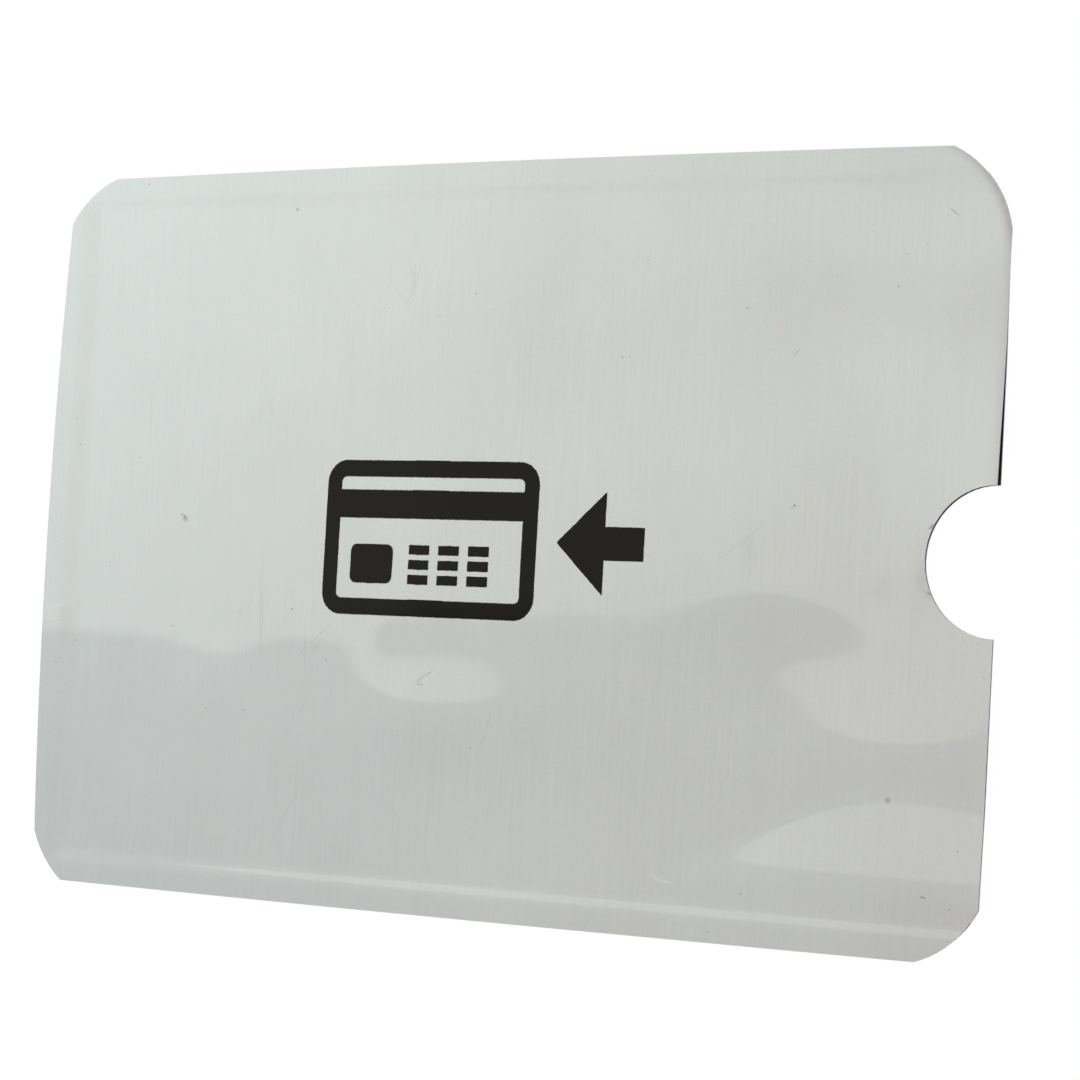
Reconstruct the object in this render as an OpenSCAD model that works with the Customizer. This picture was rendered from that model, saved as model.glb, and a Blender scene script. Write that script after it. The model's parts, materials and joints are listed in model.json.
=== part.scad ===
// Card sleeve: two laminated panels sealed on three sides, with a thumb notch at the mouth.
// It lies on its back panel, with the mouth towards +X and the printed panel up.
// Both panels have the same layers: brushed film outside, then metal foil, then a dark lining.
// The lining stops short of the edges, where foil is sealed to foil.

/* [Outline] */
// Length from the closed end to the mouth
sleeve_length = 91; // [89:0.5:100]
// Width across the mouth
sleeve_width = 63; // [60:0.5:70]
// How far the closed end bows outwards at its middle
end_bow = 0.9; // [0.1:0.1:1.5]
// How far the +Y long side bows outwards
top_bow = 0.3; // [0.1:0.05:1]
// How far the -Y long side bows outwards
bottom_bow = 0.15; // [0.1:0.05:1]

/* [Corner cuts] */
// Closed end, +Y: arc centre in from the corner along X and along Y, then the arc's radius
end_top_cut = [8.4, 8.6, 8.9]; // [7:0.1:11]
// Closed end, -Y
end_bottom_cut = [9.7, 7.9, 9.7]; // [7:0.1:11]
// Mouth, +Y
mouth_top_cut = [9.3, 8.8, 9.5]; // [7:0.1:11]
// Mouth, -Y
mouth_bottom_cut = [7.6, 8.2, 8.5]; // [7:0.1:11]

/* [Thumb notch] */
// Radius of the half-round notch
notch_radius = 5.85; // [4:0.05:9]
// How far the notch sits towards -Y from the middle of the mouth
notch_drop = 0.8; // [0:0.1:2]

/* [Layers] */
// Thickness of the brushed outer film
film_t = 0.025; // [0.02:0.005:0.05]
// Thickness of the glue between film and foil
film_glue_t = 0.005; // [0.005:0.001:0.01]
// Thickness of the metal foil
foil_t = 0.01; // [0.008:0.001:0.03]
// Thickness of the glue between foil and lining
liner_glue_t = 0.005; // [0.005:0.001:0.01]
// Thickness of the lining
liner_t = 0.095; // [0.05:0.005:0.2]
// Thickness of the print on the front
print_t = 0.015; // [0.01:0.005:0.03]

/* [Seals and pocket] */
// Width of the seal along each long side
side_seal_w = 2.4; // [1.5:0.1:3]
// Width of the seal at the closed end, at its middle
end_seal_w = 2.9; // [2:0.1:3.5]
// Thickness of a seal
seal_t = 0.03; // [0.02:0.01:0.05]
// Width of the slope where the front panel climbs from a seal to the pocket
slope_w = 1; // [0.8:0.1:1.2]
// Height of the open pocket, which takes a card 0.76 thick
pocket_gap = 0.8; // [0.78:0.01:1.2]

/* [Printed mark] */
// Length and width of the card sign
sign_size = [20.8, 13.1]; // [10:0.1:24]
// Corner radius of the card sign
sign_corner = 1.9; // [1:0.1:3]
// Width of the card sign's border
sign_border = 1.4; // [0.8:0.1:2]
// Length and width of the arrow that shows how a card goes in
arrow_size = [8.1, 8.4]; // [5:0.1:10]
// Gap between the card sign and the arrow
arrow_gap = 1.9; // [1:0.1:4]
// Middle of the whole mark
mark_middle = [-0.2, -0.2]; // [-5:0.1:5]

/* [Hidden] */

mouth_x = sleeve_length / 2;
side_y = sleeve_width / 2;
seal_line_x = -mouth_x + end_seal_w;    // inner edge of the end seal
seal_line_y = side_y - side_seal_w;     // inner edge of the side seals
past = 5;                               // cutting shapes run this far past the sleeve

// heights of the undersides, from the back film up
back_film_glue_z = film_t;
back_foil_z = back_film_glue_z + film_glue_t;
back_inside_z = back_foil_z + foil_t;
back_liner_z = back_inside_z + liner_glue_t;
pocket_floor_z = back_liner_z + liner_t;
front_liner_z = pocket_floor_z + pocket_gap;
front_liner_glue_z = front_liner_z + liner_t;
web_raised_z = front_liner_glue_z + liner_glue_t;   // front foil over the pocket
web_sealed_z = back_inside_z + seal_t;              // front foil over the seals
rise = web_raised_z - web_sealed_z;
web_t = foil_t + film_glue_t + film_t;

silver = [0.80, 0.82, 0.81];
foil_grey = [0.88, 0.89, 0.90];
glue_clear = [0.90, 0.88, 0.80];
lining_black = [0.13, 0.13, 0.13];
ink_black = [0.14, 0.12, 0.13];

// A rectangle, length by 2 * reach, whose +Y side falls back by bow from its middle to its ends
module bowed_box(length, reach, bow) {
    steps = 12;
    side = [for (i = [0 : steps]) let (s = 1 - 2 * i / steps) [s * length / 2, reach - bow * s * s]];
    polygon(concat(side, [[-length / 2, -reach], [length / 2, -reach]]));
}

// What a corner cut takes off, drawn in the corner that lies at the origin and opens to +X, +Y
module corner_waste(cut)
    difference() {
        translate([-past, -past]) square([cut[0] + past, cut[1] + past]);
        translate([cut[0], cut[1]]) circle(cut[2], $fn = 180);
    }

// Outline of a whole panel
module blank()
    difference() {
        intersection() {
            bowed_box(sleeve_length, side_y, top_bow);
            mirror([0, 1]) bowed_box(sleeve_length, side_y, bottom_bow);
            rotate(90) bowed_box(sleeve_width, mouth_x, end_bow);
        }
        translate([-mouth_x, side_y]) mirror([0, 1]) corner_waste(end_top_cut);
        translate([-mouth_x, -side_y]) corner_waste(end_bottom_cut);
        translate([mouth_x, side_y]) rotate(180) corner_waste(mouth_top_cut);
        translate([mouth_x, -side_y]) mirror([1, 0]) corner_waste(mouth_bottom_cut);
        translate([mouth_x, -notch_drop]) circle(notch_radius, $fn = 120);
    }

// Outline of a lining sheet, which starts where the slope ends
module lining_outline()
    intersection() {
        blank();
        translate([seal_line_x + slope_w, -seal_line_y + slope_w])
            square([sleeve_length, 2 * (seal_line_y - slope_w)]);
    }

module sheet(z, t) translate([0, 0, z]) linear_extrude(t) children();

// The raised pocket as a solid with sloped sides, its foot lift higher than the sealed web
module pocket_block(lift) {
    sink = 0.5;     // the foot runs this far down into the slab
    function inset(h) = slope_w * h / rise;
    function ring(h) = let (x = seal_line_x + inset(h), y = seal_line_y - inset(h), z = web_sealed_z + lift + h)
        [[x, -y, z], [mouth_x + past, -y, z], [mouth_x + past, y, z], [x, y, z]];
    polyhedron(concat(ring(-sink), ring(rise)),
        [[0, 1, 2, 3], [7, 6, 5, 4], [4, 5, 1, 0], [5, 6, 2, 1], [6, 7, 3, 2], [7, 4, 0, 3]]);
}

// Everything that lies under the web's underside once that is moved up by lift
module below_web(lift) {
    translate([-sleeve_length, -sleeve_width, -past])
        cube([2 * sleeve_length, 2 * sleeve_width, past + web_sealed_z + lift]);
    pocket_block(lift);
}

// One layer of the front web, between two distances above its underside
module web_layer(low, high)
    intersection() {
        sheet(0, web_raised_z + web_t + past) blank();
        difference() {
            below_web(high);
            below_web(low);
        }
    }

// Part of a panel's outline inside a box from one corner to the other
module seal_outline(from, to)
    intersection() {
        blank();
        translate(from) square(to - from);
    }

module back_film() color(silver) sheet(0, film_t) blank();
module back_film_glue() color(glue_clear) sheet(back_film_glue_z, film_glue_t) blank();
module back_foil() color(foil_grey) sheet(back_foil_z, foil_t) blank();
module back_liner_glue() color(glue_clear) sheet(back_inside_z, liner_glue_t) lining_outline();
module back_liner() color(lining_black) sheet(back_liner_z, liner_t) lining_outline();

module end_seal()
    color(glue_clear) sheet(back_inside_z, seal_t)
        seal_outline([-mouth_x, -side_y], [seal_line_x, side_y]);
module top_seal()
    color(glue_clear) sheet(back_inside_z, seal_t)
        seal_outline([seal_line_x, seal_line_y], [mouth_x, side_y]);
module bottom_seal()
    color(glue_clear) sheet(back_inside_z, seal_t)
        seal_outline([seal_line_x, -side_y], [mouth_x, -seal_line_y]);

module front_liner() color(lining_black) sheet(front_liner_z, liner_t) lining_outline();
module front_liner_glue() color(glue_clear) sheet(front_liner_glue_z, liner_glue_t) lining_outline();
module front_foil() color(foil_grey) web_layer(0, foil_t);
module front_film_glue() color(glue_clear) web_layer(foil_t, foil_t + film_glue_t);
module front_film() color(silver) web_layer(foil_t + film_glue_t, web_t);

module rounded(size, r)
    for (x = [0, 1], y = [0, 1])
        translate([r + x * (size[0] - 2 * r), r + y * (size[1] - 2 * r)]) circle(r, $fn = 48);

// A solid rectangle with round corners, from its lower left corner
module round_box(size, r) {
    rounded(size, r);
    translate([r, 0]) square([size[0] - 2 * r, size[1]]);
    translate([0, r]) square([size[0], size[1] - 2 * r]);
}

// A card seen from its front: border, stripe, contact pad and three rows of dashes
module card_sign() {
    inner = sign_size - 2 * [sign_border, sign_border];
    stripe_h = 2.4;
    stripe_drop = 1.1;
    pad = [4.2, 3.3];
    pad_at = sign_border + 1.3;
    dash = [2, 0.8];
    dash_step = [2.9, 1.25];
    dash_at = pad_at + pad[0] + 1.6;
    difference() {
        round_box(sign_size, sign_corner);
        translate([sign_border, sign_border]) round_box(inner, sign_corner - sign_border);
    }
    translate([sign_border, sign_size[1] - sign_border - stripe_drop - stripe_h])
        square([inner[0], stripe_h]);
    translate([pad_at, pad_at]) round_box(pad, 0.6);
    for (column = [0 : 2], row = [0 : 2])
        translate([dash_at + column * dash_step[0], pad_at + row * dash_step[1]]) square(dash);
}

// An arrow from the mouth into the pocket
module arrow_sign() {
    head_l = 0.55 * arrow_size[0];
    shaft_h = 0.32 * arrow_size[1];
    polygon([[0, 0], [head_l, arrow_size[1] / 2], [head_l, shaft_h / 2], [arrow_size[0], shaft_h / 2],
             [arrow_size[0], -shaft_h / 2], [head_l, -shaft_h / 2], [head_l, -arrow_size[1] / 2]]);
}

module front_print() {
    mark_l = sign_size[0] + arrow_gap + arrow_size[0];
    color(ink_black) sheet(web_raised_z + web_t, print_t)
        translate(mark_middle - [mark_l / 2, 0]) {
            translate([0, -sign_size[1] / 2]) card_sign();
            translate([sign_size[0] + arrow_gap, 0]) arrow_sign();
        }
}

back_film();
back_film_glue();
back_foil();
back_liner_glue();
back_liner();
end_seal();
top_seal();
bottom_seal();
front_liner();
front_liner_glue();
front_foil();
front_film_glue();
front_film();
front_print();
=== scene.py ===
# Foil card sleeve: two limp panels of brushed laminate, sealed on three sides, with a sign on the front.
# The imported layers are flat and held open. Here each is a soft sheet, lying as an empty sleeve does.
import json
import math

import bpy
import numpy as np
from mathutils import Matrix, Vector


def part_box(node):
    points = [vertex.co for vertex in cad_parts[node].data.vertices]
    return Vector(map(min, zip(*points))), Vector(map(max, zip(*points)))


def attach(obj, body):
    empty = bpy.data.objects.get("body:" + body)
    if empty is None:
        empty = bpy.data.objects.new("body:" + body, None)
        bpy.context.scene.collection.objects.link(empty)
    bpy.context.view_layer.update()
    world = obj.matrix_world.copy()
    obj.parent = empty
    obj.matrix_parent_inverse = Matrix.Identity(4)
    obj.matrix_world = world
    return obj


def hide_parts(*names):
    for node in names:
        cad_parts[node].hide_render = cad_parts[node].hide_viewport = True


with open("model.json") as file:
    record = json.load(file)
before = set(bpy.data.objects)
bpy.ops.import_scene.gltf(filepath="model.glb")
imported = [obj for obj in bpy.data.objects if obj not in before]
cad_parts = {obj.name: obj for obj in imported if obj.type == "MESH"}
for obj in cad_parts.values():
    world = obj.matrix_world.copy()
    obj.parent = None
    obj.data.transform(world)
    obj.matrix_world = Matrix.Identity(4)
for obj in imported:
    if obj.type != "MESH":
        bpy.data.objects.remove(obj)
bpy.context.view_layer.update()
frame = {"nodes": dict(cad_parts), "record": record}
bpy.ops.object.select_all(action="DESELECT")

mm = 0.001  # sheets are shaped in millimetres and finished in metres


def lowest(node):
    return Vector(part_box(node)[0]) / mm


def highest(node):
    return Vector(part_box(node)[1]) / mm


sleeve = {  # read off the frame
    "mouthX": highest("back_film").x,
    "sideY": highest("back_film").y,
    "sealX": highest("end_seal").x,
    "sealY": lowest("top_seal").y,
    "sealedZ": highest("end_seal").z,
    "raisedZ": highest("front_liner_glue").z,
    "closedZ": highest("back_liner").z + highest("front_liner_glue").z - lowest("front_liner").z,
}

# Camera

camera = {
    "place": (137.34, -13.43, 229.09),
    "aim": (5.37, -0.02, 0.1),
    "roll": 3.22,  # degrees
    "lens": 107.56,
    "sensor": 36,
    "near": 0.01,  # metres
}


def makeCamera():
    place = Vector(camera["place"])
    look = (Vector(camera["aim"]) - place).normalized()
    right = look.cross(Vector((0, 1, 0))).normalized()
    turn = Matrix((right, right.cross(look), -look)).transposed()
    turn = turn @ Matrix.Rotation(math.radians(camera["roll"]), 3, "Z")
    bpy.ops.object.camera_add()
    made = bpy.context.object
    made.name = "viewCamera"
    made.matrix_world = Matrix.Translation(place * mm) @ turn.to_4x4()
    made.data.lens = camera["lens"]
    made.data.sensor_width = camera["sensor"]
    made.data.clip_start = camera["near"]
    bpy.context.scene.camera = made
    made.select_set(False)


makeCamera()
print("camera set")

# Form of the panels: heights over the place (x, y), all in millimetres


def smooth(start, end, value):
    share = np.clip((value - start) / (end - start), 0, 1)
    return share * share * (3 - 2 * share)


panel = {
    "creases": (            # end, +Y, -Y seal: start in from its edge, width, sink of the front beside it
        (-1.3, 2.7, 0.07),
        (-0.4, 1, 0.038),
        (-0.9, 1.8, 0.08),
    ),
    "faint": (-5, -40, 0.11),   # between the two x, the -Y seal's crease fades by this share
    "slack": 0.02,          # gap between the two linings where no swell presses or puffs them
    "swells": (             # middle x, y, reach x, y, height: where the pocket is puffed up or pressed in
        (7.5, 0.5, 5.5, 5.6, 0.065),
        (1, 0.5, 2.6, 5.8, 0.02),
        (16, 2, 6, 5.6, 0.032),
        (26, 1.3, 6, 6.2, 0.12),
        (30, -8.2, 4, 1.9, -0.022),
        (-4.6, 0.3, 3, 6, 0.06),
        (-8.6, -6.2, 1.3, 1.8, 0.013),
        (-11, -12.6, 1.6, 2, 0.008),
        (-4, -14.9, 5.6, 2.3, 0.062),
        (37.5, -16.3, 7, 2.6, 0.062),
        (-16, -14, 6, 2.5, -0.012),
        (-25.5, -13, 3.4, 2.4, 0.014),
        (32, 17.5, 6, 6, -0.12),
        (6, 14.5, 4.5, 7, -0.08),
    ),
    "bend": 0.039,          # slope of the sleeve where its -Y corner of the mouth is bent up
    "bendX": 37,            # the bend reaches furthest in here
    "bendY": (-18.1, -26.4),
    "bendTilt": (0.38, -0.11, 3),   # of its upper line: fall on both sides of there, lean, blunt tip
    "bendBlunt": 1,
    "lift": 0.2,            # the mouth of both panels is off the table by this much
    "liftX": 18,
    "liftPower": 1.4,
    "liftY": (34, 22),
    "liftMore": (23, 4, 0.3),   # and by more round a place near the +Y corner: y, reach, height
    "gape": 0.34,           # height of the open mouth between the notch and the +Y corner
    "gapeX": 35,            # the front panel lifts from here to the mouth
    "gapePower": 1.3,
    "gapeY": (21, 2),       # from nothing at the first to all of it at the second
    "gapeEnd": (-5.5, 2.5),     # and back to nothing round the notch
    "retreat": 0.14,        # the front's edge stands back by this much where the mouth is open
    "lip": 0.05,            # height of the mouth on the other side of the notch
    "lipY": (0, -8),
    "lipEnd": (-28.6, -26.4),
    "curl": (0.6, 0.025),   # the front's edge at the mouth turns down: reach, fall
    "curlY": (-3, 3),
    "rim": -0.11,           # both panels turn down by this much round the +Y corner of the mouth
    "rimMiddle": (36.2, 22.7),
    "rimReach": (9, 9.6),   # how far from its middle it starts, and where it has all of that
    "rimMost": 1.2,         # and the most of it that a place past the outline has
    "rimX": (0, 5),         # it fades in over these distances from its middle
    "rimY": (-1, 4),
}


def towardsMouth(x, start, power=2):
    return np.clip((x - start) / (sleeve["mouthX"] - start), 0, None) ** power


def fromSeals(x, y):  # how far off each seal a place is, from 0 to 1
    within = (x - sleeve["sealX"], sleeve["sealY"] - y, sleeve["sealY"] + y)
    return [smooth(start, start + width, far) for far, (start, width, _) in zip(within, panel["creases"])]


def bendHeight(x, y):  # an even slope with blunt ends, between a slanted line and a straight one
    start, end = panel["bendY"]
    fall, lean, blunt = panel["bendTilt"]
    off = x - panel["bendX"]
    low = np.maximum(start - lean * off - fall * (np.hypot(off, blunt) - blunt), end)
    upper, lower = (np.hypot(y - edge, panel["bendBlunt"]) for edge in (low, end))
    return panel["bend"] / 2 * (low - end + upper - lower)


def backHeight(x, y):
    middle, reach, more = panel["liftMore"]
    lift = panel["lift"] * smooth(*panel["liftY"], y) + more * np.exp(-(((y - middle) / reach) ** 2) / 2)
    middleX, middleY = panel["rimMiddle"]
    inner, outer = panel["rimReach"]
    outwards = (np.hypot(x - middleX, y - middleY) - inner) / (outer - inner)
    rim = panel["rim"] * np.clip(outwards, 0, panel["rimMost"]) ** 2
    rim = rim * smooth(*panel["rimX"], x - middleX) * smooth(*panel["rimY"], y - middleY)
    raised = lift * towardsMouth(x, panel["liftX"], panel["liftPower"]) + rim + bendHeight(x, y)
    start, end, share = panel["faint"]
    fade = (1, 1, 1 - share * smooth(start, end, x))
    climb = sleeve["closedZ"] - sleeve["sealedZ"]
    pressed = 0
    for off, less, (_, _, sink) in zip(fromSeals(x, y), fade, panel["creases"]):
        pressed = np.maximum(pressed, (climb + sink * less) * (1 - off))
    return raised + pressed


def openShare(y):
    return smooth(*panel["gapeY"], y) * smooth(*panel["gapeEnd"], y)


def pocketHeight(x, y):
    opening = towardsMouth(x, panel["gapeX"], panel["gapePower"])
    lip = panel["lip"] * smooth(*panel["lipY"], y) * smooth(*panel["lipEnd"], y)
    reach, fall = panel["curl"]
    curl = fall * towardsMouth(x, sleeve["mouthX"] - reach) * smooth(*panel["curlY"], y)
    height = panel["slack"] + opening * (panel["gape"] * openShare(y) + lip) - curl
    for middleX, middleY, reachX, reachY, rise in panel["swells"]:
        across, along = (x - middleX) / reachX, (y - middleY) / reachY
        height = height + rise * np.exp(-(across**2 + along**2) / 2)
    return height


def frontHeight(x, y):
    climb = sleeve["closedZ"] - sleeve["sealedZ"] + pocketHeight(x, y)
    off = np.minimum.reduce(fromSeals(x, y))
    return backHeight(x, y) + sleeve["sealedZ"] - sleeve["raisedZ"] + off * climb


# Sheets: a grid of squares, cut to a layer's outline and then laid over its form

sheet = {
    "past": 0.7,        # how far the grid runs on past the outline
    "margin": 0.25,     # grid step along the seals
    "middle": 0.7,      # grid step over the pocket
    "middleX": (-40.7, 37),     # the pocket's step starts at the first and the mouth's at the second
    "middleY": 27.3,
    "mouth": 0.4,
    "fine": 0.4,        # grid step over the pocket in the front film
    "weld": 0.0005,     # points of an outline that are closer than this are one
    "cutterZ": 5,       # half the height that an outline is drawn out to
    "sharp": 40,        # degrees, over which an edge stays sharp
}


def gridLines(*stops):
    lines = []
    for (start, step), (end, _) in zip(stops, stops[1:]):
        lines.extend(np.linspace(start, end, round((end - start) / step), endpoint=False))
    return np.array([*lines, stops[-1][0]])


def placesOf(piece):
    places = np.zeros(len(piece.data.vertices) * 3)
    piece.data.vertices.foreach_get("co", places)
    return places.reshape(-1, 3)


def setPlaces(piece, places):
    piece.data.vertices.foreach_set("co", places.ravel())
    piece.data.update()


def applyModifier(piece, kind, **settings):
    modifier = piece.modifiers.new("shape", kind)
    for key, value in settings.items():
        setattr(modifier, key, value)
    bpy.context.view_layer.objects.active = piece
    bpy.ops.object.modifier_apply(modifier="shape")


def gridSlab(xLines, yLines):
    columns, rows = len(xLines) - 1, len(yLines) - 1
    bpy.ops.mesh.primitive_grid_add(x_subdivisions=columns, y_subdivisions=rows, size=2)
    slab = bpy.context.object
    places = placesOf(slab)
    places[:, 0] = xLines[np.rint((places[:, 0] + 1) / 2 * columns).astype(int)]
    places[:, 1] = yLines[np.rint((places[:, 1] + 1) / 2 * rows).astype(int)]
    setPlaces(slab, places)
    applyModifier(slab, "SOLIDIFY", thickness=2, offset=0)
    return slab


def cutterFrom(node):
    cutter = frame["nodes"][node].copy()
    cutter.data = cutter.data.copy()
    for key in list(cutter.keys()):
        del cutter[key]
    cutter.parent = None
    bpy.context.scene.collection.objects.link(cutter)
    cutter.data.transform(Matrix.Scale(1 / mm, 4))
    cutter.data.materials.clear()
    bpy.ops.object.select_all(action="DESELECT")
    cutter.select_set(True)
    bpy.context.view_layer.objects.active = cutter
    bpy.ops.object.mode_set(mode="EDIT")
    bpy.ops.mesh.select_all(action="SELECT")
    bpy.ops.mesh.remove_doubles(threshold=sheet["weld"])
    bpy.ops.object.mode_set(mode="OBJECT")
    places = placesOf(cutter)
    middleZ = (places[:, 2].min() + places[:, 2].max()) / 2
    places[:, 2] = np.where(places[:, 2] > middleZ, sheet["cutterZ"], -sheet["cutterZ"])
    setPlaces(cutter, places)
    return cutter


def cutSlab(node, xLines, yLines):
    slab = gridSlab(xLines, yLines)
    cutter = cutterFrom(node)
    applyModifier(slab, "BOOLEAN", operation="INTERSECT", object=cutter, solver="EXACT")
    bpy.data.objects.remove(cutter)
    return slab


def layOver(slab, name, form, low, high):
    piece = slab.copy()
    piece.data = slab.data.copy()
    piece.name = name
    bpy.context.scene.collection.objects.link(piece)
    places = placesOf(piece)
    places[:, 2] = form(places[:, 0], places[:, 1]) + np.where(places[:, 2] > 0, high, low)
    if form is frontHeight:
        back = panel["retreat"] * openShare(places[:, 1])
        places[:, 0] -= back * towardsMouth(places[:, 0], panel["gapeX"])
    setPlaces(piece, places * mm)
    bpy.ops.object.select_all(action="DESELECT")
    piece.select_set(True)
    bpy.context.view_layer.objects.active = piece
    bpy.ops.object.shade_smooth_by_angle(angle=math.radians(sheet["sharp"]))
    piece.select_set(False)
    return piece


def panelGrid(step):
    edgeX, edgeY = sleeve["mouthX"] + sheet["past"], sleeve["sideY"] + sheet["past"]
    endX, mouthX = sheet["middleX"]
    sideY, margin = sheet["middleY"], sheet["margin"]
    xLines = gridLines((-edgeX, margin), (endX, step), (mouthX, min(step, sheet["mouth"])), (edgeX, 0))
    yLines = gridLines((-edgeY, margin), (-sideY, step), (sideY, margin), (edgeY, 0))
    return xLines, yLines


slabs = {
    "front_film": cutSlab("back_film", *panelGrid(sheet["fine"])),  # both panels have one outline
    "back_film": cutSlab("back_film", *panelGrid(sheet["middle"])),
    "back_liner": cutSlab("back_liner", *panelGrid(sheet["middle"])),
}
for node in ("end_seal", "top_seal", "bottom_seal"):
    slabs[node] = cutSlab(node, *panelGrid(sheet["middle"]))
print("outlines cut")

layers = {  # node: the outline that it shares, and what it lies over
    "back_film": ("back_film", backHeight),
    "back_film_glue": ("back_film", backHeight),
    "back_foil": ("back_film", backHeight),
    "back_liner_glue": ("back_liner", backHeight),
    "back_liner": ("back_liner", backHeight),
    "end_seal": ("end_seal", backHeight),
    "top_seal": ("top_seal", backHeight),
    "bottom_seal": ("bottom_seal", backHeight),
    "front_liner": ("back_liner", frontHeight),
    "front_liner_glue": ("back_liner", frontHeight),
    "front_foil": ("back_film", frontHeight),
    "front_film_glue": ("back_film", frontHeight),
    "front_film": ("front_film", frontHeight),
}
pieces = {}
undersideZ = 0
for node, (outline, form) in layers.items():
    if node in ("end_seal", "top_seal", "bottom_seal", "front_liner"):
        undersideZ = lowest(node).z
    pieces[node] = layOver(slabs[outline], node + "_sheet", form, undersideZ, highest(node).z)
    undersideZ = highest(node).z
    print(node, "laid,", len(pieces[node].data.polygons), "faces")

# Ink

ink = {
    "past": 0.2,        # how far the grid runs on past the sign
    "step": 0.065,      # of the ragged edge, along the sleeve
    "row": 0.13,        # and across it
    "teeth": 0.04,      # how far the edge runs out along the brushed grain
    "wobble": 0.018,
    "seed": 4,
}


def makeInk():
    low, high = lowest("front_print"), highest("front_print")
    past = ink["past"]
    xLines = gridLines((low.x - past, ink["step"]), (high.x + past, 0))
    yLines = gridLines((low.y - past, ink["row"]), (high.y + past, 0))
    slab = cutSlab("front_print", xLines, yLines)
    places = placesOf(slab)
    chance = np.random.default_rng(ink["seed"])
    teeth = chance.uniform(0.2, 1, len(xLines) + 2) * np.where(np.arange(len(xLines) + 2) % 2, 1, -1)
    wobble = chance.uniform(-1, 1, len(yLines) + 2)
    column = np.rint((places[:, 0] - xLines[0]) / ink["step"]).astype(int)
    row = np.rint((places[:, 1] - yLines[0]) / ink["row"]).astype(int)
    places[:, 1] += ink["teeth"] * teeth[column]
    places[:, 0] += ink["wobble"] * wobble[row]
    setPlaces(slab, places)
    made = layOver(slab, "front_print_sheet", frontHeight, low.z, high.z)
    bpy.data.objects.remove(slab)
    return made


pieces["front_print"] = makeInk()
print("ink laid,", len(pieces["front_print"].data.polygons), "faces")
for slab in slabs.values():
    bpy.data.objects.remove(slab)

# Shaders


class Wire:  # a shader socket that takes part in Python sums

    def __init__(self, shader, socket):
        self.shader = shader
        self.socket = socket

    def combine(self, operation, other):
        return self.shader.node("ShaderNodeMath", {"operation": operation}, (self, other))

    def __add__(self, other):
        return self.combine("ADD", other)

    def __mul__(self, other):
        return self.combine("MULTIPLY", other)

    def atLeast(self, other):
        return self.combine("MAXIMUM", other)

    __radd__ = __add__
    __rmul__ = __mul__


class Shader:

    def __init__(self, owner):
        owner.use_nodes = True
        self.owner = owner
        self.tree = owner.node_tree
        self.tree.nodes.clear()

    def node(self, kind, settings=None, sockets=None, output=0):
        made = self.tree.nodes.new(kind)
        for key, value in (settings or {}).items():
            setattr(made, key, value)
        named = sockets.items() if isinstance(sockets, dict) else enumerate(sockets or ())
        for key, value in named:
            if isinstance(value, Wire):
                self.tree.links.new(value.socket, made.inputs[key])
            else:
                made.inputs[key].default_value = value
        return Wire(self, made.outputs[output]) if made.outputs else made

    def place(self):  # Object coordinates in millimetres
        found = self.node("ShaderNodeTexCoord", output="Object")
        return self.scaled(found, (1 / mm, 1 / mm, 1 / mm))

    def scaled(self, vector, scale):
        return self.node("ShaderNodeMapping", {"vector_type": "POINT"}, {"Vector": vector, "Scale": scale})

    def split(self, vector):
        made = self.tree.nodes.new("ShaderNodeSeparateXYZ")
        self.tree.links.new(vector.socket, made.inputs[0])
        return [Wire(self, socket) for socket in made.outputs]

    def noise(self, vector, scale=1, detail=2, roughness=0.5, output="Fac"):
        sockets = {"Vector": vector, "Scale": scale, "Detail": detail, "Roughness": roughness}
        return self.node("ShaderNodeTexNoise", {}, sockets, output)

    def spot(self, place, middle, reach, soft, turn=0):
        local = self.node("ShaderNodeMapping", {"vector_type": "TEXTURE"}, {
            "Vector": place,
            "Location": (*middle, 0),
            "Rotation": (0, 0, turn),
            "Scale": (*reach, 1000),
        })
        away = self.node("ShaderNodeVectorMath", {"operation": "LENGTH"}, (local,), "Value")
        return self.between(away, 1 + soft, 1 - soft)

    def stroke(self, place, start, end, width, overlap=1.1, soft=0.6):  # tapered at both ends
        middle = [(one + other) / 2 for one, other in zip(start, end)]
        turn = math.atan2(end[1] - start[1], end[0] - start[0])
        reach = (math.dist(start, end) / 2 * overlap, width / 2)
        return self.spot(place, middle, reach, soft, turn)

    def between(self, value, start, end, low=0, high=1):
        return self.node("ShaderNodeMapRange", {"interpolation_type": "SMOOTHSTEP"},
                         (value, start, end, low, high))

    def mix(self, share, first, second, blend="MIX"):
        return self.node("ShaderNodeMix", {"data_type": "RGBA", "blend_type": blend},
                         {0: share, 6: first, 7: second}, 2)

    def finish(self, surface):
        self.node("ShaderNodeOutputMaterial", {}, {"Surface": surface})
        return self.owner


def rgb(red, green, blue):
    return (red, green, blue, 1)


film = {
    "light": rgb(0.785, 0.785, 0.785),
    "dark": rgb(0.737, 0.737, 0.737),
    "tintScale": 5,
    "tint": 0.45,           # share of the speckled tint
    "streakScale": (6, 0.12, 1),
    "speckleScale": (8, 7, 7),
    "streak": 0.4,          # share of the long streaks in the grain
    "cloudScale": 0.12,
    "cloud": 0.2,           # share of the broad clouds beside the grain
    "toneRange": (0.36, 0.64),
    "roughness": 0.46,
    "roughnessSpread": 0.1,
    "coatIor": 1.77,
    "coatRoughness": 0.015,
    "grainDepth": 0.0012,   # mm
}


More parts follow.
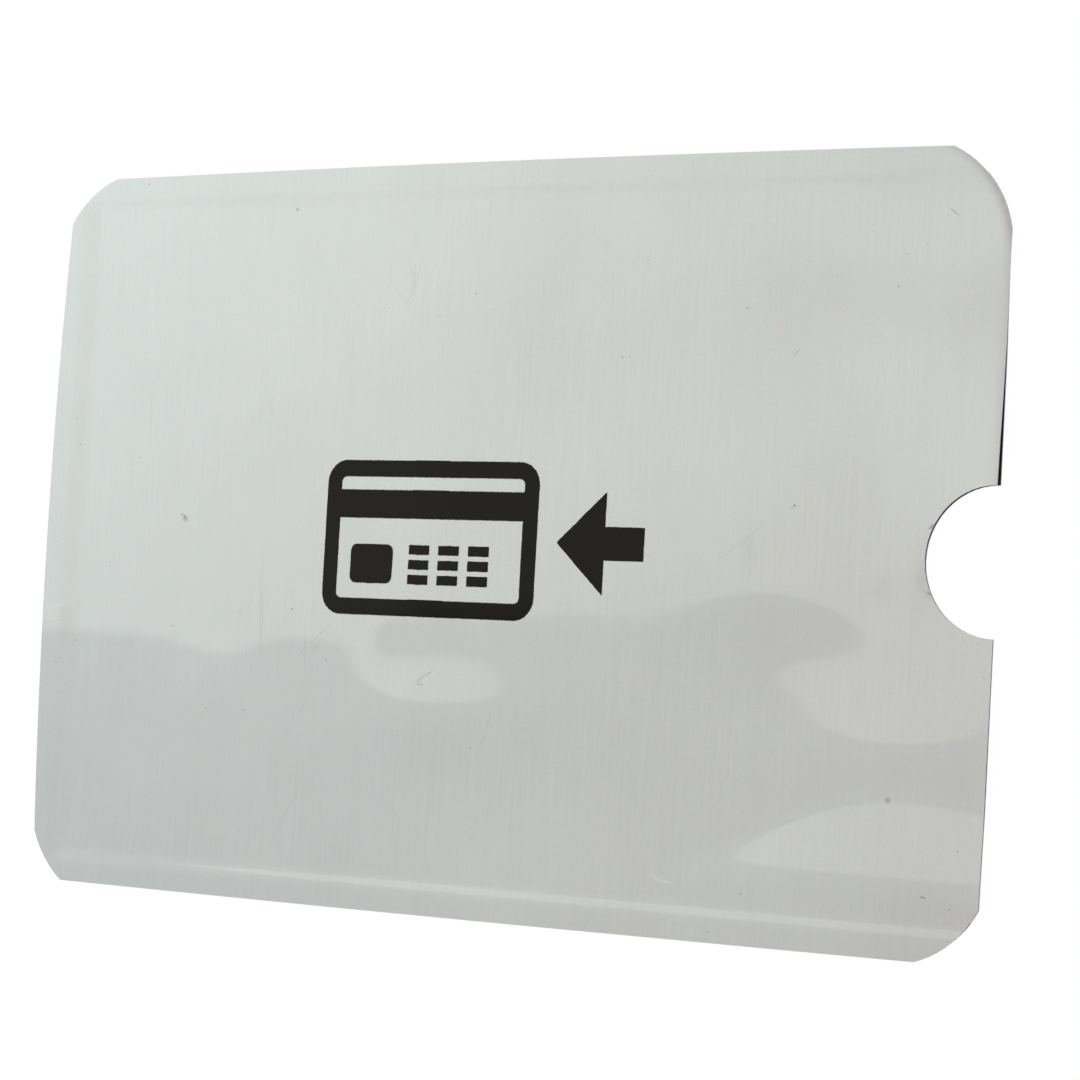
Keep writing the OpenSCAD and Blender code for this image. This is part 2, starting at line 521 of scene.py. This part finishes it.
sheenAndMarks = {  # painted sheen and highlights beside hairs and dirt, on the printed side only; a share is how much lighter or darker than the film
    "paintedSheens": (              # middle x, y, reach x, y, share: painted sheen and shade, soft patches standing in for uneven reflections
        (4, -26, 10, 4.5, 0.035),
        (38, 28, 7, 3.5, -0.035),
        (-26, -12.5, 6, 2.5, 0.025),
        (-16, 21, 10, 9, 0.015),
        (7, 15, 4.5, 10, -0.02),
        (24, -7, 6, 3.5, -0.03),
        (-45, -25, 3, 6, -0.02),
        (14.5, 17, 4, 3, -0.02),
        (27, 21, 3.5, 3.5, -0.03),
        (36, 13.5, 4, 4.5, 0.02),
        (-3, 24, 5, 6, 0.015),
        (12, -27, 10, 3, 0.015),
        (34, -26, 7, 4, -0.015),
        (24.6, -0.5, 0.7, 1.6, -0.05),
        (36.1, -3.2, 0.9, 0.9, -0.05),
        (39.2, -3.5, 0.4, 3.5, -0.02),
        (-42.8, -8.3, 0.7, 0.9, -0.04),
        (-16, -9.8, 0.35, 0.35, -0.06),
        (-14, 15.3, 0.4, 0.3, -0.05),
    ),
    "hairWidth": 0.1,
    "hairs": (              # share, places along it
        (-0.11, (-11, 22.2), (-8.8, 19.7), (-8.1, 20.7), (-7.5, 23.4)),
        (-0.1, (-8.6, 23.5), (-8.7, 23), (-8.1, 21.4), (-8.4, 20.7)),
        (-0.1, (-8.1, 23), (-8.1, 21.4)),
        (-0.14, (-21.9, -4), (-21.7, -10.4)),
        (-0.1, (-21.6, -5.5), (-21.5, -10)),
        (-0.25, (-24.1, -7), (-23.7, -6.7)),
        (-0.25, (-14.9, -10.5), (-14.7, -10.9)),
        (-0.1, (-14.6, -7.7), (-17, -9.7), (-17.6, -10.4)),
        (-0.08, (-15.2, -7.8), (-15.6, -9.3)),
        (-0.09, (-16.5, -14), (-17.1, -15.2)),
        (-0.07, (-17.1, -7.8), (-16.9, -11.7)),
        (-0.3, (-4.1, -11.2), (-5, -11.7), (-5.5, -12.1), (-5.4, -12.4), (-4.9, -12.4)),
        (-0.11, (1.8, -14.2), (1.5, -15.4), (1, -17.3)),
        (-0.08, (22.2, -1.1), (24.3, 0.4), (26.4, 2.2)),
        (-0.35, (40.4, 26.3), (41.1, 25.8)),
        (-0.07, (-34.9, 12), (-34.7, 7.8)),
        (-0.3, (27.6, 15.1), (28, 15.5)),
        (-0.08, (-22.4, 12), (-21.8, 10)),
        (-0.07, (-17, -22), (-19.5, -27)),
        (-0.6, (40.8, -26.4), (41.2, -26.5)),
    ),
    "creaseGlintWidth": 0.25,
    # share, places along it: painted highlights, lines lighter than the film where it is folded
    "creaseGlints": (
        (0.1, (17.4, -26.5), (18.2, -26.9), (19.2, -27)),
        (0.04, (-45.1, -7), (-43.3, -7)),
        (0.04, (-45.1, -7.4), (-43.3, -7.4)),
        (0.04, (-45.1, -7.8), (-43.3, -7.8)),
        (0.04, (-45.1, -8.2), (-43.3, -8.2)),
    ),
    "dirt": rgb(0.07, 0.05, 0.035),
    "dirtEdge": (1.4, 0.3),     # where a speck's edge starts and ends, in shares of its reach
    "blotShare": 0.7,
    "blots": (              # middle x, y, reach
        (-30.5, 1.2, 0.13),
        (-30.75, 1.35, 0.09),
        (-30.3, 1.05, 0.09),
        (28.4, 3.2, 0.1),
        (-36.6, 30.7, 0.07),
        (-18.6, -6.5, 0.08),
    ),
    "speckShare": 0.33,
    "specks": (
        (-20.5, 28, 0.17),
        (-30.4, 1, 0.3),
        (-42.4, 7.4, 0.1),
        (-43, 9.8, 0.1),
        (-35.7, 6.3, 0.08),
        (-11, 19.3, 0.08),
        (-5.4, 18.6, 0.07),
        (-2, 20.4, 0.09),
        (12.2, 15, 0.11),
        (12.9, 15, 0.09),
        (14.1, 22.9, 0.07),
        (23.3, 18.9, 0.1),
        (28.2, 3, 0.09),
        (34, 24.8, 0.07),
        (36.9, 22.9, 0.08),
        (38.6, 23.6, 0.07),
        (36.3, 20.4, 0.1),
        (-38.3, -3, 0.08),
        (-41.4, -6.6, 0.08),
        (-41.6, -10.1, 0.09),
        (-43.6, -12.1, 0.09),
        (-31, -8.4, 0.1),
        (-27, -15.4, 0.08),
        (-23, -15.4, 0.1),
        (0, -17.4, 0.1),
        (25.5, -27.4, 0.09),
        (22.8, -30.6, 0.07),
        (37.6, -19.3, 0.24),
        (43.6, -22.8, 0.1),
        (43.2, -27.2, 0.09),
    ),
}


def sheenAndMarkedColor(shader, place, color):
    light = 1
    # painted sheen and shade: soft patches lighten or darken the film's colour
    for middleX, middleY, reachX, reachY, share in sheenAndMarks["paintedSheens"]:
        light = shader.spot(place, (middleX, middleY), (reachX, reachY), 1) * share + light
    # dark hairs, then painted highlights along the folds
    for kind in ("hair", "creaseGlint"):
        for share, *places in sheenAndMarks[kind + "s"]:
            for start, end in zip(places, places[1:]):
                light = shader.stroke(place, start, end, sheenAndMarks[kind + "Width"]) * share + light
    flat = shader.scaled(place, (1, 1, 0))
    edgeStart, edgeEnd = sheenAndMarks["dirtEdge"]
    dirt = 0
    for kind in ("blot", "speck"):
        for middleX, middleY, reach in sheenAndMarks[kind + "s"]:
            points = (flat, (middleX, middleY, 0))
            away = shader.node("ShaderNodeVectorMath", {"operation": "DISTANCE"}, points, "Value")
            speck = shader.between(away, reach * edgeStart, reach * edgeEnd, 0, sheenAndMarks[kind + "Share"])
            dirt = speck.atLeast(dirt)
    return shader.mix(dirt, shader.mix(1, color, light, "MULTIPLY"), sheenAndMarks["dirt"])


def filmMaterial(name, sheenAndMarked):
    shader = Shader(bpy.data.materials.new(name))
    place = shader.place()
    streaks = shader.noise(shader.scaled(place, film["streakScale"]), 1, 3, 0.6)
    speckle = shader.noise(shader.scaled(place, film["speckleScale"]), 1, 2, 0.7)
    cloud = shader.noise(place, film["cloudScale"], 2, 0.5)
    grain = streaks * film["streak"] + speckle * (1 - film["streak"])
    tone = shader.between(grain * (1 - film["cloud"]) + cloud * film["cloud"], *film["toneRange"])
    red, _, blue = shader.split(shader.noise(place, film["tintScale"], 2, 0.8, "Color"))
    tint = shader.node("ShaderNodeCombineXYZ", {}, (red, 0.5, blue))
    color = shader.mix(film["tint"], shader.mix(tone, film["dark"], film["light"]), tint, "OVERLAY")
    height = streaks * film["grainDepth"] * mm
    bump = shader.node("ShaderNodeBump", {}, {"Strength": 1, "Distance": 1, "Height": height})
    spread = film["roughnessSpread"]
    surface = shader.node("ShaderNodeBsdfPrincipled", {}, {
        "Base Color": sheenAndMarkedColor(shader, place, color) if sheenAndMarked else color,
        "Metallic": 1,
        "Roughness": grain * spread + (film["roughness"] - spread / 2),
        "Coat Weight": 1,
        "Coat Roughness": film["coatRoughness"],
        "Coat IOR": film["coatIor"],
        "Normal": bump,
    })
    return shader.finish(surface)


mottled = {  # glue, foil and seals, which lie between the films
    "scale": 1.5,
    "dark": 0.8,            # share of the colour in the darkest places
    "roughnessSpread": 0.15,
    "roughnessLess": 0.07,
}


def mottledMaterial(name, color, roughness, metallic=0):
    shader = Shader(bpy.data.materials.new(name))
    mottle = shader.noise(shader.place(), mottled["scale"], 3, 0.6)
    darker = rgb(*(mottled["dark"] * value for value in color[:3]))
    surface = shader.node("ShaderNodeBsdfPrincipled", {}, {
        "Base Color": shader.mix(mottle, darker, color),
        "Metallic": metallic,
        "Roughness": mottle * mottled["roughnessSpread"] + (roughness - mottled["roughnessLess"]),
    })
    return shader.finish(surface)


lining = {
    "fibreScale": 6,
    "face": (rgb(0.012, 0.012, 0.013), rgb(0.03, 0.03, 0.033)),     # its black faces
    "core": (rgb(0.8, 0.86, 0.92), rgb(0.88, 0.92, 0.96)),          # its pale cut edge
    "upright": (0.3, 0.5),  # from edge to face, in the square of the normal's height
    "roughness": 0.6,
}


def liningMaterial():
    shader = Shader(bpy.data.materials.new("blackLining"))
    fibre = shader.noise(shader.place(), lining["fibreScale"], 4, 0.7)
    normal = shader.node("ShaderNodeNewGeometry", output="Normal")
    upright = shader.split(normal)[2]
    share = shader.between(upright * upright, *lining["upright"])
    face = shader.mix(fibre, *lining["face"])
    core = shader.mix(fibre, *lining["core"])
    surface = shader.node("ShaderNodeBsdfPrincipled", {}, {
        "Base Color": shader.mix(share, core, face),
        "Roughness": lining["roughness"],
    })
    return shader.finish(surface)


signInk = {
    "mottleScale": 4,
    "color": (rgb(0.004, 0.003, 0.003), rgb(0.009, 0.007, 0.007)),
    "roughness": 0.05,
    "specular": 0.18,
}


def inkMaterial():
    shader = Shader(bpy.data.materials.new("signInk"))
    mottle = shader.noise(shader.place(), signInk["mottleScale"], 3, 0.6)
    surface = shader.node("ShaderNodeBsdfPrincipled", {}, {
        "Base Color": shader.mix(mottle, *signInk["color"]),
        "Roughness": signInk["roughness"],
        "Specular IOR Level": signInk["specular"],
    })
    return shader.finish(surface)


finishes = {
    "brushed_film": filmMaterial("brushedFilm", False),
    "laminating_glue": mottledMaterial("driedGlue", rgb(0.84, 0.82, 0.74), 0.4),
    "foil": mottledMaterial("brightFoil", rgb(0.88, 0.89, 0.9), 0.25, 1),
    "lining": liningMaterial(),
    "seal": mottledMaterial("hotMelt", rgb(0.8, 0.79, 0.75), 0.35),
    "ink": inkMaterial(),
}
# the front film carries painted sheen and highlights besides its hairs and dirt
sheenAndMarkedFilm = filmMaterial("sheenAndMarkedFilm", True)
slotOf = {part["node"]: part["material_slot"] for part in frame["record"]["subparts"]}
for node, piece in pieces.items():
    piece.data.materials.clear()
    piece.data.materials.append(sheenAndMarkedFilm if node == "front_film" else finishes[slotOf[node]])
    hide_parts(node)
    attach(piece, "root")
print("finishes set")

# Studio

studio = {
    "floorSize": 6,
    "floorDrop": 0.00002,
    "floor": rgb(0.95, 0.95, 0.95),
    "white": 0.94,          # share of plain white in what the camera sees of the floor
    "whiteLight": 1.03,
    "paleEdge": 0.0145,     # the pale half of the sky starts at this y of a direction
    "paleSoft": 0.0025,
    "farY": (0.05, 0.35),
    "lowY": (-0.12, -0.4),
    "leftX": (-0.43, -0.78),
    "rightX": (-0.45, 0),
    "far": (rgb(1.65, 1.82, 1.84), rgb(0.83, 0.94, 0.87)),    # each at the left and in the middle
    "near": (rgb(1.24, 1.4, 1.38), rgb(0.97, 0.95, 0.81)),
    "shade": (rgb(0.16, 0.21, 0.26), rgb(0.41, 0.4, 0.36)),
    "low": (rgb(1.23, 1.24, 1.25), rgb(0.85, 0.85, 0.86)),
    "right": rgb(0.45, 0.38, 0.4),
}


def makeFloor():
    bpy.ops.mesh.primitive_plane_add(size=studio["floorSize"], location=(0, 0, -studio["floorDrop"]))
    floor = bpy.context.object
    floor.name = "floor"
    shader = Shader(bpy.data.materials.new("paleFloor"))
    direct, glossy, through = (
        shader.node("ShaderNodeLightPath", output="Is " + kind + " Ray")
        for kind in ("Camera", "Glossy", "Transmission")
    )
    plain = shader.node("ShaderNodeBsdfDiffuse", {}, {"Color": studio["floor"]})
    glow = {"Color": rgb(1, 1, 1), "Strength": studio["whiteLight"]}
    white = shader.node("ShaderNodeEmission", {}, glow)
    seen = direct.atLeast(glossy).atLeast(through)
    surface = shader.node("ShaderNodeMixShader", {}, (seen * studio["white"], plain, white))
    floor.data.materials.append(shader.finish(surface))
    floor.select_set(False)


def makeWorld():
    world = bpy.data.worlds.new("studioWorld")
    bpy.context.scene.world = world
    shader = Shader(world)
    direction = shader.node("ShaderNodeTexCoord", output="Generated")
    x, y, z = shader.split(direction)
    edge, soft = studio["paleEdge"], studio["paleSoft"]
    above = shader.between(y, edge - soft, edge + soft)
    left = shader.between(x, *studio["leftX"])
    far, near, shade, low = (
        shader.mix(left, middle, atLeft) for atLeft, middle in
        (studio[name] for name in ("far", "near", "shade", "low"))
    )
    upper = shader.mix(shader.between(y, *studio["farY"]), near, far)
    lower = shader.mix(shader.between(y, *studio["lowY"]), shade, low)
    seen = shader.mix(above, lower, upper)
    seen = shader.mix(shader.between(x, *studio["rightX"]), seen, studio["right"])
    light = shader.node("ShaderNodeBackground", {}, {"Color": seen, "Strength": 1})
    shader.node("ShaderNodeOutputWorld", {}, {"Surface": light})


makeFloor()
makeWorld()
bpy.context.scene.view_settings.view_transform = "Standard"
print("studio set")
